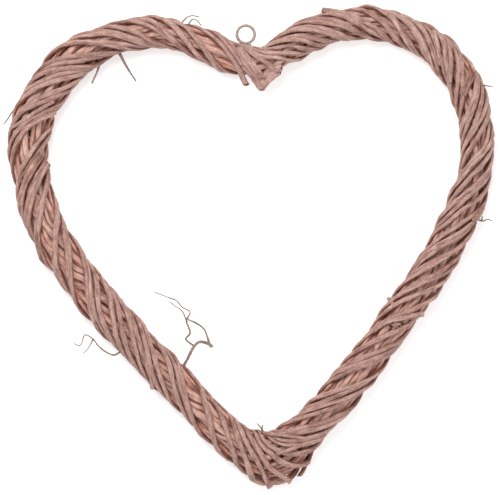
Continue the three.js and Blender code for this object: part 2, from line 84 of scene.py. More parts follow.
ROD_STARTS = [
    [-0.25, 4.85, 9.5, 13.5, 18.5, 22.5, 26.5, 30.5],
    [-0.25, 2.5, 4.5, 9.5, 13.5, 18.5, 22.5, 26.75, 30.5],
    [2.5, 7.5, 12.5, 17.5, 22.5, 28.5, 30.5],
]
HEADS = {
    (0, -0.25): (-0.04, (32.1, -192.0, 3.0)),
    (1, -0.25): (-0.04, (15.4, -197.0, 2.0)),
    (1, 26.75): (26.86, (-81.2, -115.6, 2.5)),
    (0, 4.85): (4.90, (58.4, 195.6, 3.6)),
}
TAILS = [
    (2, 30.02, (-4.5, 134.1, 9.0)),
    (0, 4.02, (8.6, 130.0, 8.0)),
    (1, 3.98, (21.8, 143.4, 10.0)),
    (2, 28.10, (-167.0, 69.5, 5.0)),
]
CLEFT_AT, CLEFT_PULL, CLEFT_SPREAD = 594.0, 11.0, 46.0
INNER_RODS, INNER_TWISTS, INNER_GAP, INNER_FAN = 5, 4, 4.0, 0.55
RING_CENTRE = (-4.7, 175.8)
RING_RADIUS, RING_WIRE = 7.3, 2.4

ROUND = 20                                   # sides of a winding rod
RINGS = 84                                   # rings along one turn of it


def ease(t):
    c = np.clip(t, 0.0, 1.0)
    return c * c * (3 - 2 * c)


def wander(seed, waves, reach):
    """A smooth line of about one sd, the same each run: a sum of sines with their own phases."""
    r = np.random.default_rng(seed)
    freq = (0.35 + r.random(waves) * 1.3) / reach * 2 * math.pi
    phase = r.random(waves) * 2 * math.pi
    size = np.full(waves, math.sqrt(2.0 / waves))

    def at(u):
        u = np.asarray(u, float)
        return (np.sin(u[..., None] * freq + phase) * size).sum(-1)

    return at


# ------------------------------------------------------------------ heart line
LENGTH = sum(a for a, _ in ARCS)
DS = LENGTH / LINE_STEPS


def heart_line():
    n = LINE_STEPS
    ends = np.concatenate([[0.0], np.cumsum([a for a, _ in ARCS])])
    turned = np.concatenate([[0.0], np.cumsum([b for _, b in ARCS])])
    half = int(ARC_BLEND / DS / 2 + 0.5)
    s = np.arange(-2 * half, n + 2 * half + 1) * DS
    laps = np.floor(s / LENGTH)
    heading = laps * turned[-1] + np.interp(s - laps * LENGTH, ends, turned)
    for _ in range(2):
        heading = np.convolve(heading, np.full(2 * half + 1, 1.0 / (2 * half + 1)), "valid")
    a = np.radians(heading + HEADING)
    mid = (a[:-1] + a[1:]) / 2
    x = np.concatenate([[START[0]], START[0] + np.cumsum(np.cos(mid) * DS)])
    y = np.concatenate([[START[1]], START[1] + np.cumsum(np.sin(mid) * DS)])
    f = np.arange(n + 1) / n
    return x - (x[-1] - x[0]) * f, y - (y[-1] - y[0]) * f, a


LINE_X, LINE_Y, LINE_A = heart_line()


def line_at(s):
    w = np.mod(s, LENGTH) / DS
    k = np.arange(LINE_STEPS + 1)
    a = np.interp(w, k, LINE_A)
    c = np.stack([np.interp(w, k, LINE_X), np.interp(w, k, LINE_Y), np.zeros_like(w)], -1)
    zero = np.zeros_like(a)
    return c, np.stack([-np.sin(a), np.cos(a), zero], -1), np.stack([np.cos(a), np.sin(a), zero], -1)


def tip_fan(s):
    here = np.mod(s, LENGTH)
    d = np.where(here > LENGTH / 2, here - LENGTH, here) - TIP_FAN_AT
    return TIP_FAN * np.exp(-((d / np.where(d < 0, TIP_FAN_SPREAD[0], TIP_FAN_SPREAD[1])) ** 2))


def width_at(s, side):
    here = np.mod(s, LENGTH)
    rows = np.array(WIDTHS + [(LENGTH, WIDTHS[0][1], WIDTHS[0][2])], float)
    k = np.clip(np.searchsorted(rows[:, 0], here, "right") - 1, 0, len(rows) - 2)
    e = ease((here - rows[k, 0]) / (rows[k + 1, 0] - rows[k, 0]))
    w = rows[k, side] + (rows[k + 1, side] - rows[k, side]) * e
    return w + (tip_fan(s) if side == 1 else 0.0)


# ------------------------------------------------------------------ winding
CROSSINGS = np.array([first + k * step for first, count, step in BUNDLES for k in range(count)])
COUNT = len(CROSSINGS)
SPAN = COUNT // len(ROD_STARTS)
QUARTER = LENGTH / COUNT * STRANDS / 4       # a quarter of a turn, along the heart


def crossing(i):
    i = np.asarray(i, int)
    return CROSSINGS[np.mod(i, COUNT)] + LENGTH * np.floor_divide(i, COUNT)


def along_at(strand, turns):
    n = np.floor(turns).astype(int)
    f = turns - n
    p = [crossing(strand + STRANDS * (n + k)) for k in (-1, 0, 1, 2)]
    m0, m1 = (p[2] - p[0]) / 2, (p[3] - p[1]) / 2
    f2, f3 = f * f, f * f * f
    return (2 * f3 - 3 * f2 + 1) * p[1] + (f3 - 2 * f2 + f) * m0 + (3 * f2 - 2 * f3) * p[2] + (f3 - f2) * m1


FULL = math.sin(math.radians(81))


def strand_point(strand, turns, drop, extra=0.0, slide=0.0):
    """Points on a strand: drop is how far the rod's middle stays inside the weave's depth."""
    angle = (turns - np.floor(turns)) * 360 + 90
    a = np.radians(angle)
    s = along_at(strand, turns)
    here = np.mod(s, LENGTH)
    past = np.mod(angle - 90, 360)
    pulled = np.where(past < 90, ease(past / 90), 1 - ease((past - 90) / 220))
    s = s - CLEFT_PULL * pulled * np.exp(-(((here - CLEFT_AT) / CLEFT_SPREAD) ** 2)) + slide
    # at the tip the upper half of a turn takes up less of the heart's length, and the lower half more
    nearest = np.floor(turns + 0.5).astype(int)
    off = turns - nearest
    top = np.mod(crossing(strand + STRANDS * nearest), LENGTH)
    near = np.exp(-(((np.where(top > LENGTH / 2, top - LENGTH, top) - TIP_STEEP_AT) / TIP_STEEP_SPREAD) ** 2))
    s = s - TIP_STEEP * near * QUARTER * np.where(np.abs(off) <= 0.25, 4 * off, np.sign(off) * (2 - 4 * np.abs(off)))
    straight = np.where(np.abs(off) < 0.25, np.sin(2 * math.pi * off) - 4 * off, 0.0)
    s = s + TIP_STRAIGHT * near * (1 - TIP_STEEP * near) * QUARTER * straight
    centre, out, ahead = line_at(s)
    fan = np.where(np.cos(a) > 0, tip_fan(s), 0.0)
    half = np.where(np.cos(a) > 0, width_at(s, 1), width_at(s, 2)) - fan
    # what the rods reach out further at the tip they reach above the heart's middle, and fold back below it
    reach = np.where(np.sin(a) < 0, np.cos(a) ** 4, np.cos(a)) * fan
    point = centre + out * (np.cos(a) * (half * 1.03 + extra) + 1.03 * reach)[..., None]
    point[..., 2] = np.maximum(np.sin(a), -FULL) * (DEPTH - drop) / FULL
    radial = out * np.cos(a)[..., None]
    radial[..., 2] = np.sin(a)
    return point, radial, s


rods = []
for strand, starts in enumerate(ROD_STARTS):
    for k, begin in enumerate(starts):
        following = starts[0] + SPAN if k == len(starts) - 1 else starts[k + 1]
        gap = HEAD_GAP if (strand, following) in HEADS and following > 0 else END_GAP
        rod = {"strand": strand, "begin": begin, "end": following - gap, "head": None, "tail": None}
        if (strand, begin) in HEADS:
            rod["begin"], rod["head"] = HEADS[strand, begin]
        for tail_strand, turns, end in TAILS:
            if tail_strand == strand and begin < turns < following:
                rod["end"], rod["tail"] = turns, end
        rods.append(rod)


def run_out(path, end, step=0.5):
    """The way from the last point of a path to a cut end, leaving it along its own direction."""
    p, q = path[-1], np.array(end, float)
    way = path[-1] - path[-3]
    way = way / np.linalg.norm(way)
    length = np.linalg.norm(q - p)
    count = max(4, int(length / step))
    f = (np.arange(count) + 1)[:, None] / count
    p1, p2 = p + way * length / 3, q - (q - p) / 3
    return (1 - f) ** 3 * p + 3 * f * (1 - f) ** 2 * p1 + 3 * f * f * (1 - f) * p2 + f ** 3 * q


def measure_room():
    """How much room each rod has between its neighbours, so that rods touch but don't run through each other."""
    for i, rod in enumerate(rods):
        rod["own"] = ROD_MAX - ROD_SPREAD * ((i * 7) % 5) / 4
        steps = math.ceil((rod["end"] - rod["begin"]) * 40)
        rod["t"] = rod["begin"] + (rod["end"] - rod["begin"]) * np.arange(steps + 1) / steps
        rod["middle"] = strand_point(rod["strand"], rod["t"], ROD_MAX / 2 * math.cos(math.pi / 5))[0]
        ends = [(rod["middle"], rod["t"])]
        if rod["head"]:
            more = run_out(rod["middle"][::-1], rod["head"], 2.0)
            ends.append((more, np.full(len(more), rod["begin"])))
        if rod["tail"]:
            more = run_out(rod["middle"], rod["tail"], 2.0)
            ends.append((more, np.full(len(more), rod["end"])))
        rod["all"] = [np.concatenate(part) for part in zip(*ends)]
    points = np.concatenate([r["all"][0] for r in rods])
    turn = np.concatenate([r["all"][1] for r in rods])
    owner = np.concatenate([np.full(len(r["all"][1]), i) for i, r in enumerate(rods)])
    strand = np.concatenate([np.full(len(r["all"][1]), r["strand"]) for r in rods])
    for i, rod in enumerate(rods):
        apart = np.mod(turn[None, :] - rod["t"][:, None], SPAN)
        same = (strand[None, :] == rod["strand"]) & (np.minimum(apart, SPAN - apart) < 0.3)
        far = np.linalg.norm(points[None, :, :] - rod["middle"][:, None, :], axis=-1)
        far = np.where(same | (owner == i)[None, :], 99.0, far)
        rod["room"] = far.min(1)


measure_room()


def rod_thickness(rod, t):
    """Its own thickness, pressed thinner where neighbours crowd it."""
    along = np.mod(along_at(rod["strand"], rod["t"]), LENGTH)
    own = rod["own"] + TIP_THICKER * np.exp(-((np.minimum(along, LENGTH - along) / TIP_THICK_SPREAD) ** 2))
    room = np.minimum(rod["room"] * 0.91, own * 0.92)
    soft = np.array([room[max(0, i - 3):i + 4].min() for i in range(len(room))])
    kernel = np.exp(-np.linspace(-1.8, 1.8, 9) ** 2)
    padded = np.pad(soft, 4, "edge")
    soft = np.convolve(padded, kernel / kernel.sum(), "valid")
    return np.maximum(np.interp(t, rod["t"], soft), 2.9)


# ------------------------------------------------------------------ meshes
def add_object(name, verts, faces, looks, smooth=None):
    """verts in mm in the heart line's frame. looks is {attribute: array}, with one row for each vertex."""
    me = bpy.data.meshes.new(name)
    v = (np.asarray(verts) + SHIFT) * 0.001
    me.from_pydata(v.tolist(), [], faces)
    for key, values in looks.items():
        values = np.asarray(values, np.float32)
        if values.ndim == 1:
            me.attributes.new(key, "FLOAT", "POINT").data.foreach_set("value", values)
        else:
            me.attributes.new(key, "FLOAT_VECTOR", "POINT").data.foreach_set("vector", values.ravel())
    me.validate()
    if smooth is None:
        me.polygons.foreach_set("use_smooth", [True] * len(me.polygons))
    else:
        me.polygons.foreach_set("use_smooth", smooth)
    me.update()
    o = bpy.data.objects.new(name, me)
    bpy.context.scene.collection.objects.link(o)
    return o


def tube(path, radial, radius, sides, seed, relief=None, cut=(0.35, -0.3), tint=0.5, coat=None, turned=None):
    """A closed rod along a path: path and radial n by 3, radius n. relief(u, phi) scales the radius.
    cut is how slanted the two cut ends are. Gives verts, faces, attributes and smooth flags."""
    n = len(path)
    d = np.gradient(path, axis=0)
    step = np.linalg.norm(np.diff(path, axis=0), axis=1)
    u = np.concatenate([[0.0], np.cumsum(step)])
    t = d / np.linalg.norm(d, axis=1)[:, None]
    b = np.cross(t, radial)
    b /= np.linalg.norm(b, axis=1)[:, None]
    e = np.cross(b, t)
    phi = 2 * math.pi * np.arange(sides) / sides
    r = radius[:, None] * (relief(u, phi) if relief else 1.0) * np.ones((n, sides))
    ring = path[:, None, :] + r[..., None] * (
        np.cos(phi)[None, :, None] * e[:, None, :] + np.sin(phi)[None, :, None] * b[:, None, :]
    )
    verts = [ring.reshape(-1, 3)]
    grain = np.stack([
        np.repeat(u[:, None], sides, 1) + seed * 61.7,
        r * np.cos(phi)[None, :] + seed * 3.1,
        r * np.sin(phi)[None, :],
    ], -1)
    grains = [grain.reshape(-1, 3)]
    # how far each point faces out of the weave
    facing = np.repeat(np.cos(phi)[None, :], n, 0) if coat is None else coat
    facings = [facing.reshape(-1)]
    cuts = [np.zeros(n * sides)]
    faces, smooth = [], []
    idx = np.arange(n * sides).reshape(n, sides)
    a, c = idx[:-1], idx[1:]
    quads = np.stack([a, np.roll(a, -1, 1), np.roll(c, -1, 1), c], -1).reshape(-1, 4)
    faces += quads.tolist()
    smooth += [True] * len(quads)
    base = n * sides
    for end, slant in ((0, cut[0]), (n - 1, cut[1])):
        way = -t[0] if end == 0 else t[-1]
        lean = np.cos(phi - (seed if turned is None else turned))[:, None] * way[None, :] * slant
        ring_end = ring[end]
        verts[0] = verts[0].copy()
        lo = end * sides
        verts[0][lo:lo + sides] = ring_end + lean * radius[end]
        inner = []
        for share, push, cutness in ((0.9, 0.12, 1.0), (0.5, 0.06, 1.0)):
            p = path[end] + (ring_end - path[end]) * share + lean * radius[end] * share + way * push
            verts.append(p)
            grains.append(grain[end] * [1, share, share])
            facings.append(facing[end])
            cuts.append(np.full(sides, cutness))
            inner.append(base)
            base += sides
        verts.append((path[end] - way * 0.02)[None, :])
        grains.append(grain[end].mean(0)[None, :])
        facings.append(facing[end].mean(0, keepdims=True))
        cuts.append(np.ones(1))
        tipv = base
        base += 1
        rows = [idx[end], np.arange(inner[0], inner[0] + sides), np.arange(inner[1], inner[1] + sides)]
        for p, q in zip(rows[:-1], rows[1:]):
            for k in range(sides):
                k2 = (k + 1) % sides
                f = [int(p[k]), int(q[k]), int(q[k2]), int(p[k2])]
                faces.append(f if end == 0 else f[::-1])
                smooth.append(False)
        for k in range(sides):
            f = [int(rows[-1][k]), tipv, int(rows[-1][(k + 1) % sides])]
            faces.append(f if end == 0 else f[::-1])
            smooth.append(False)
    verts = np.concatenate(verts)
    looks = {
        "grain": np.concatenate(grains) * 0.001,
        "facing": np.concatenate(facings),
        "cut": np.concatenate(cuts),
        "tint": np.full(len(verts), tint),
    }
    return verts, faces, looks, smooth


def outward(verts, faces):
    """Faces turned outwards, told by the signed volume."""
    v = np.asarray(verts)
    total = 0.0
    for f in faces:
        for k in range(1, len(f) - 1):
            total += float(np.dot(v[f[0]], np.cross(v[f[k]], v[f[k + 1]])))
    return faces if total > 0 else [f[::-1] for f in faces]


def joined(parts):
    verts, faces, smooth, looks, base = [], [], [], {}, 0
    for v, f, l, sm in parts:
        f = outward(v, f)
        verts.append(v)
        faces += [[i + base for i in q] for q in f]
        smooth += sm
        for key, values in l.items():
            looks.setdefault(key, []).append(values)
        base += len(v)
    return np.concatenate(verts), faces, {k: np.concatenate(x) for k, x in looks.items()}, smooth


def willow_relief(seed, length, lumps=1.0, flat=0.07):
    """Ridges along the rod, slow swelling, a flattened section, and the ring and bud scar of each node."""
    r = np.random.default_rng(seed)
    places, at = [], 8 + r.random() * 30
    while at < length:
        places.append((at, r.random() * 2 * math.pi, 0.5 + 0.9 * r.random()))
        at += 24 + 34 * r.random()
    slow = wander(seed + 1, 4, 15.0)
    pressed = wander(seed + 9, 3, 38.0)
    turns = [wander(seed + 2 + k, 3, 55.0) for k in range(5)]
    dents = wander(seed + 11, 5, 5.0)

    def relief(u, phi):
        f = 1 + 0.035 * lumps * slow(u)[:, None] * np.ones(len(phi))[None, :]
        f = f - (flat + 0.045 * lumps * pressed(u))[:, None] * np.cos(2 * phi)[None, :]
        for k, (order, size) in enumerate(((2, 0.03), (3, 0.032), (5, 0.022), (7, 0.016))):
            f = f + size * lumps * np.cos(order * phi[None, :] + turns[k](u)[:, None] * 1.7 + seed * (k + 1))
        f = f + 0.012 * lumps * dents(u)[:, None] * np.cos(phi[None, :] + turns[4](u)[:, None] * 2.5)
        for place, around, size in places:
            ringed = np.exp(-(((u - place) / 1.4) ** 2))[:, None]
            toward = np.exp(-((np.angle(np.exp(1j * (phi - around))) / 0.5) ** 2))[None, :]
            bud = np.exp(-(((u - place - 0.9) / 1.9) ** 2))[:, None] * toward
            f = f + lumps * size * (0.055 * ringed + 0.24 * bud)
        return f

    return relief


# ------------------------------------------------------------------ materials
def srgb(r, g, b):
    def one(c):
        c /= 255.0
        return c / 12.92 if c <= 0.04045 else ((c + 0.055) / 1.055) ** 2.4
    return (one(r), one(g), one(b), 1.0)


class Nodes:
    """Short names for building a node tree."""

    def __init__(self, name):
        self.mat = bpy.data.materials.new(name)
        self.mat.use_nodes = True
        self.tree = self.mat.node_tree
        self.tree.nodes.clear()
        self.out = self.add("ShaderNodeOutputMaterial")
        self.shader = self.add("ShaderNodeBsdfPrincipled")
        self.link(self.shader.outputs[0], self.out.inputs[0])

    def add(self, kind, **props):
        n = self.tree.nodes.new(kind)
        for k, v in props.items():
            setattr(n, k, v)
        return n

    def link(self, a, b):
        self.tree.links.new(a, b)

    def attribute(self, name, vector=False):
        n = self.add("ShaderNodeAttribute", attribute_name=name)
        return n.outputs["Vector" if vector else "Fac"]

    def noise(self, vector, scale, detail=2.0, rough=0.5, distortion=0.0, out="Fac"):
        n = self.add("ShaderNodeTexNoise")
        self.link(vector, n.inputs["Vector"])
        n.inputs["Scale"].default_value = scale
        n.inputs["Detail"].default_value = detail
        n.inputs["Roughness"].default_value = rough
        n.inputs["Distortion"].default_value = distortion
        return n.outputs[out]

    def voronoi(self, vector, scale, out="Distance", randomness=1.0):
        n = self.add("ShaderNodeTexVoronoi")
        self.link(vector, n.inputs["Vector"])
        n.inputs["Scale"].default_value = scale
        n.inputs["Randomness"].default_value = randomness
        return n.outputs[out]

    def scaled(self, vector, by):
        n = self.add("ShaderNodeVectorMath", operation="MULTIPLY")
        self.link(vector, n.inputs[0])
        n.inputs[1].default_value = by
        return n.outputs[0]

    def math(self, op, a, b=0.0, clamp=False):
        n = self.add("ShaderNodeMath", operation=op, use_clamp=clamp)
        for socket, value in zip(n.inputs, (a, b)):
            if isinstance(value, (int, float)):
                socket.default_value = value
            else:
                self.link(value, socket)
        return n.outputs[0]

    def range(self, value, a, b, c=0.0, d=1.0, smooth=False):
        n = self.add("ShaderNodeMapRange", interpolation_type="SMOOTHSTEP" if smooth else "LINEAR")
        self.link(value, n.inputs["Value"])
        for key, v in (("From Min", a), ("From Max", b), ("To Min", c), ("To Max", d)):
            n.inputs[key].default_value = v
        return n.outputs[0]

    def mix(self, fac, a, b, blend="MIX"):
        n = self.add("ShaderNodeMix", data_type="RGBA", blend_type=blend)
        for socket, value in ((n.inputs[0], fac), (n.inputs[6], a), (n.inputs[7], b)):
            if isinstance(value, (int, float, tuple)):
                socket.default_value = value
            else:
                self.link(value, socket)
        return n.outputs[2]

    def bump(self, height, distance, strength=1.0, normal=None):
        n = self.add("ShaderNodeBump")
        self.link(height, n.inputs["Height"])
        n.inputs["Distance"].default_value = distance
        n.inputs["Strength"].default_value = strength
        if normal is not None:
            self.link(normal, n.inputs["Normal"])
        return n.outputs[0]


def darker(colour, by):
    return tuple(c * by for c in colour[:3]) + (1.0,)


def willow_material(name, paint_light, paint_dark, wood_light, wood_dark, painted, glitter, roughness, coat_shade_from, coat_shade_to):
    """Willow with its bark lines, brushed thinly with a satin paint that has fine pale specks in it.
    The paint lies on what faces out of the weave, and the darker bare bark shows on what faces in, which also serves as
    painted shade on the rods' sides and in the gaps between them."""
    m = Nodes(name)
    grain = m.attribute("grain", True)
    facing = m.attribute("facing")
    tint = m.attribute("tint")
    cut = m.attribute("cut")
    # bark: lines along the rod, broken up along it, and slower mottling
    lines = m.noise(m.scaled(grain, (0.09, 1.0, 1.0)), 1400.0, 4.0, 0.62)
    streak = m.noise(m.scaled(grain, (0.12, 1.0, 1.0)), 620.0, 3.0, 0.62)
    wide = m.noise(m.scaled(grain, (0.42, 1.0, 1.0)), 300.0, 3.0, 0.62)
    patch = m.noise(m.scaled(grain, (0.55, 1.0, 1.0)), 85.0, 3.0, 0.6)
    blot = m.noise(m.scaled(grain, (0.8, 1.0, 1.0)), 800.0, 3.0, 0.7)
    fine = m.noise(grain, 1600.0, 3.0, 0.7)
    wood = m.mix(m.range(wide, 0.34, 0.66), wood_dark, wood_light)
    wood = m.mix(m.range(streak, 0.52, 0.66, 0.0, 0.4), wood, darker(wood_dark, 0.62))
    wood = m.mix(m.range(lines, 0.56, 0.70, 0.0, 0.5), wood, darker(wood_dark, 0.45))
    paint = m.mix(m.range(wide, 0.36, 0.64), paint_dark, paint_light)
    paint = m.mix(m.range(patch, 0.44, 0.64, 0.0, 0.45), paint, paint_dark)
    paint = m.mix(m.range(blot, 0.46, 0.62, 0.0, 0.45), paint, darker(paint_dark, 0.66))
    paint = m.mix(m.range(streak, 0.54, 0.68, 0.0, 0.55), paint, darker(paint_dark, 0.52))
    paint = m.mix(m.range(streak, 0.44, 0.32, 0.0, 0.4), paint, paint_light)
    paint = m.mix(m.range(lines, 0.58, 0.72, 0.0, 0.45), paint, darker(paint_dark, 0.42))
    paint = m.mix(m.range(fine, 0.34, 0.62, 0.30, 0.0), paint, darker(paint_dark, 0.5))
    # where the paint took: by the way it faces, worn through in patches and along the bark lines; the darker bare wood
    # on the sides and undersides is also painted shade, rounding each rod and darkening the gaps
    coat_and_side_shade = m.range(facing, coat_shade_from, coat_shade_to, 0.0, 1.0, True)
    worn = m.math("ADD", m.range(patch, 0.34, 0.58, -0.42, 0.22), m.range(streak, 0.35, 0.65, 0.20, -0.36))
    coat_and_side_shade = m.math("MULTIPLY", m.math("ADD", coat_and_side_shade, worn, True), painted, True)
    colour = m.mix(coat_and_side_shade, wood, paint)
    # each rod a little lighter or darker, redder or greyer than the next
    colour = m.mix(m.range(tint, 0.0, 1.0, 0.0, 0.5), colour, m.mix(0.6, colour, paint_dark, "MULTIPLY"))
    # fine pale specks, and a few bigger ones
    speck = m.voronoi(grain, 1300.0)
    chance = m.noise(grain, 600.0, 1.0, 0.5)
    dots = m.math("MULTIPLY", m.range(speck, 0.34, 0.18), m.range(chance, 0.45, 0.58))
    dots = m.math("MULTIPLY", dots, m.math("MULTIPLY", coat_and_side_shade, glitter))
    colour = m.mix(dots, colour, srgb(242, 228, 221))
    # cut ends: wood with a darker rim
    endwood = m.mix(m.range(m.noise(grain, 900.0, 2.0), 0.4, 0.6), srgb(96, 62, 48), srgb(150, 112, 92))
    colour = m.mix(m.math("MULTIPLY", cut, 0.85), colour, endwood)
    m.link(colour, m.shader.inputs["Base Color"])
    m.link(m.math("ADD", m.range(wide, 0.3, 0.7, roughness - 0.07, roughness + 0.08), m.math("MULTIPLY", dots, -0.3)), m.shader.inputs["Roughness"])
    m.shader.inputs["Specular IOR Level"].default_value = 0.35
    m.shader.inputs["Sheen Weight"].default_value = 0.08
    m.shader.inputs["Sheen Roughness"].default_value = 0.4
    height = m.math("ADD", m.math("MULTIPLY", lines, -0.6), m.math("MULTIPLY", streak, -1.6))
    height = m.math("ADD", height, m.math("ADD", m.math("MULTIPLY", blot, -0.5), m.math("MULTIPLY", dots, 0.35)))
    m.link(m.bump(height, 0.0006, 1.0), m.shader.inputs["Normal"])
    return m.mat


# the two bare-wood colours also serve as the painted shade on the rods' sides and in the gaps between them
ROSE = willow_material(
    "rose_willow", srgb(226, 187, 174), srgb(170, 130, 119), srgb(162, 106, 92), srgb(106, 60, 50),
    1.0, 1.0, 0.6, -0.22, 0.6)
# the inner rods are lighter than the winding: partly less-painted natural willow, partly painted light that makes up
# for the shade they lie in under the winding
PALE = willow_material(
    "pale_willow", srgb(252, 216, 200), srgb(214, 168, 152), srgb(214, 156, 138), srgb(124, 68, 56),
    0.85, 0.4, 0.62, -0.1, 0.55)
TWIG = willow_material(
    "bare_twig", srgb(182, 164, 154), srgb(142, 124, 114), srgb(156, 132, 118), srgb(104, 84, 74),
    0.7, 0.3, 0.72, -0.9, 0.4)


FRAY = willow_material(
    "frayed_bark", srgb(214, 174, 158), srgb(156, 116, 102), srgb(166, 118, 98), srgb(96, 60, 48),
    0.75, 0.5, 0.74, -0.3, 0.6)


def wire_material():
    m = Nodes("ring_wire")
    grain = m.attribute("grain", True)
    wear = m.noise(m.scaled(grain, (0.6, 1.0, 1.0)), 700.0, 3.0, 0.6)
    fine = m.noise(grain, 3000.0, 2.0, 0.5)
    colour = m.mix(m.range(wear, 0.36, 0.64), srgb(140, 122, 114), srgb(170, 152, 144))
    speck = m.range(m.voronoi(grain, 1700.0), 0.24, 0.12)
    colour = m.mix(m.math("MULTIPLY", speck, 0.4), colour, srgb(226, 216, 210))
    m.link(colour, m.shader.inputs["Base Color"])
    m.shader.inputs["Metallic"].default_value = 0.25
    m.link(m.range(wear, 0.3, 0.7, 0.40, 0.56), m.shader.inputs["Roughness"])
    m.link(m.bump(m.math("ADD", wear, m.math("MULTIPLY", fine, 0.4)), 0.00008, 0.7), m.shader.inputs["Normal"])
    return m.mat


WIRE = wire_material()


def place(o, material, slot, node=None):
    o.data.materials.append(material)
    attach(o, "root")
    if node:
        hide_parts(node)
    return o


# ------------------------------------------------------------------ winding rods
TINTS = np.random.default_rng(41).random(64)


def pairs():
    """On the upper face close neighbours lean together in pairs, one half over the other, with a gap beside them."""
    r = np.random.default_rng(12)
    lean, ride = [], []
    for first, count, step in BUNDLES:
        for k in range(count):
            mate = k + 1 if k % 2 == 0 else k - 1
            if k % 2 == 0:
                amount, over = 1.1 + 1.7 * r.random(), 1 if r.random() < 0.6 else -1
            close = step < 12.6 and mate < count
            here = first + k * step
            calm = 1 - 0.7 * math.exp(-((min(here, LENGTH - here) / 38) ** 2)) - 0.7 * math.exp(-(((here - CLEFT_AT) / 34) ** 2))
            lean.append((amount if mate > k else -amount) * calm if close else 0.0)
            ride.append((1.25 if (mate > k) == (over > 0) else -0.6) * calm if close else 0.0)
    return np.array(lean), np.array(ride)


LEAN, RIDE = pairs()
BULGE = np.random.default_rng(31).random((2, 2 * 140)) ** 1.5   # how far each turn stands out at the two edges


def wound(i, rod):
    """The path of a rod with its cut ends, its way out of the weave and its thickness along it."""
    n = math.ceil((rod["end"] - rod["begin"]) * RINGS)
    f = np.arange(n + 1) / n
    t = rod["begin"] + (rod["end"] - rod["begin"]) * f
    # a rod is thicker at its butt than at its tip, and its path is never quite even
    thick = rod_thickness(rod, t) * (1.06 - 0.14 * (f if i % 2 else 1 - f))
    slide = 0.9 * wander(900 + i, 4, 0.9)(t) + 0.35 * wander(930 + i, 4, 0.28)(t)
    lift = 0.5 * wander(700 + i, 4, 0.8)(t) + 0.2 * wander(730 + i, 4, 0.25)(t)
    nearest = np.floor(t + 0.5).astype(int)
    index = np.mod(rod["strand"] + STRANDS * nearest, COUNT)
    upper = np.cos(math.pi * (t - nearest)) ** 2
    lift = lift + RIDE[index] * upper
    for side in (0, 1):
        # the outer edge is a quarter of a turn before the upper face, the edge towards the opening as much after it
        turn = np.floor(t + 0.75 - 0.5 * side).astype(int)
        off = t - turn + (0.25 if side == 0 else -0.25)
        which = np.mod(rod["strand"] + STRANDS * turn, COUNT)
        lift = lift + (1.5, 1.2)[side] * (BULGE[side][which] - 0.35) * np.exp(-((off / 0.11) ** 2))
    path, radial, _ = strand_point(rod["strand"], t, thick / 2, lift, slide + LEAN[index] * upper)
    if rod["head"]:
        more = run_out(path[::-1], rod["head"])[::-1]
        path = np.concatenate([more, path])
        radial = np.concatenate([np.repeat(radial[:1], len(more), 0), radial])
        thick = np.concatenate([np.linspace(max(thick[0], 4.6), thick[0], len(more)), thick])
    if rod["tail"]:
        more = run_out(path, rod["tail"])
        path = np.concatenate([path, more])
        radial = np.concatenate([radial, np.repeat(radial[-1:], len(more), 0)])
        thick = np.concatenate([thick, np.linspace(thick[-1], max(thick[-1], 4.8), len(more))])
    # nothing goes under the level that the heart rests on
    path[:, 2] = np.maximum(path[:, 2], thick / 2 * 0.93 - DEPTH)
    return path, radial / np.linalg.norm(radial, axis=1)[:, None], thick


for i, rod in enumerate(rods):
    name = "winding_rod_%02d" % (i + 1)
    path, radial, thick = wound(i, rod)
    length = np.linalg.norm(np.diff(path, axis=0), axis=1).sum()
    v, f, looks, smooth = tube(
        path, radial, thick / 2, ROUND, i + 1, willow_relief(100 + 17 * i, length), (-0.7, -0.8), float(TINTS[i]), None, 0.4)
    v[:, 2] = np.maximum(v[:, 2], -DEPTH + 0.01)
    o = add_object(name + "_bark", v, outward(v, f), looks, smooth)
    place(o, ROSE, "rose_willow", name)

# ------------------------------------------------------------------ inner rods
def inner_path(turned, start, length, set_in, step=2.0):
    s = np.arange(start, start + length, step)
    out, inn = width_at(s, 1) - tip_fan(s), width_at(s, 2)
    a = 2 * math.pi * (turned - INNER_TWISTS * s / LENGTH)
    centre, way, _ = line_at(s)
    wide, high = (out + inn) / 2 - set_in, DEPTH - ROD_MAX / 2 - set_in
    reach = np.where(np.sin(a) < 0, np.maximum(np.cos(a), 0) ** 9, np.maximum(np.cos(a), 0)) * INNER_FAN * tip_fan(s)
    p = centre + way * ((out - inn) / 2 + np.cos(a) * wide + reach)[:, None]
    p[:, 2] = np.sin(a) * high
    radial = way * np.cos(a)[:, None]
    radial[:, 2] = np.sin(a)
    # how far it is to the next rod round the bundle
    apart = 2 * math.pi * np.sqrt((wide * np.sin(a)) ** 2 + (high * np.cos(a)) ** 2) / (2 * INNER_RODS)
    return p, radial, apart


def inner_rod(turned, start, set_in, seed, thick=5.4, share=0.58):
    p, radial, apart = inner_path(turned, start, LENGTH - INNER_GAP, set_in)
    k = np.arange(len(p))
    radius = np.minimum(thick / 2, share * apart) * (1 + 0.09 * wander(seed, 4, 22)(k))
    # none of them lies quite even: now nearer the winding, now deeper, now to one side
    beside = np.cross(np.gradient(p, axis=0), radial)
    beside /= np.linalg.norm(beside, axis=1)[:, None]
    p = p + radial * (0.6 * wander(seed + 40, 4, 26)(k) - 0.2)[:, None] + beside * (0.8 * wander(seed + 60, 4, 20)(k))[:, None]
    return tube(p, radial, radius, 16, seed % 97, willow_relief(seed + 200, LENGTH, 1.0, 0.04), (0.3, 0.3), float(TINTS[seed % 31 + 30]))


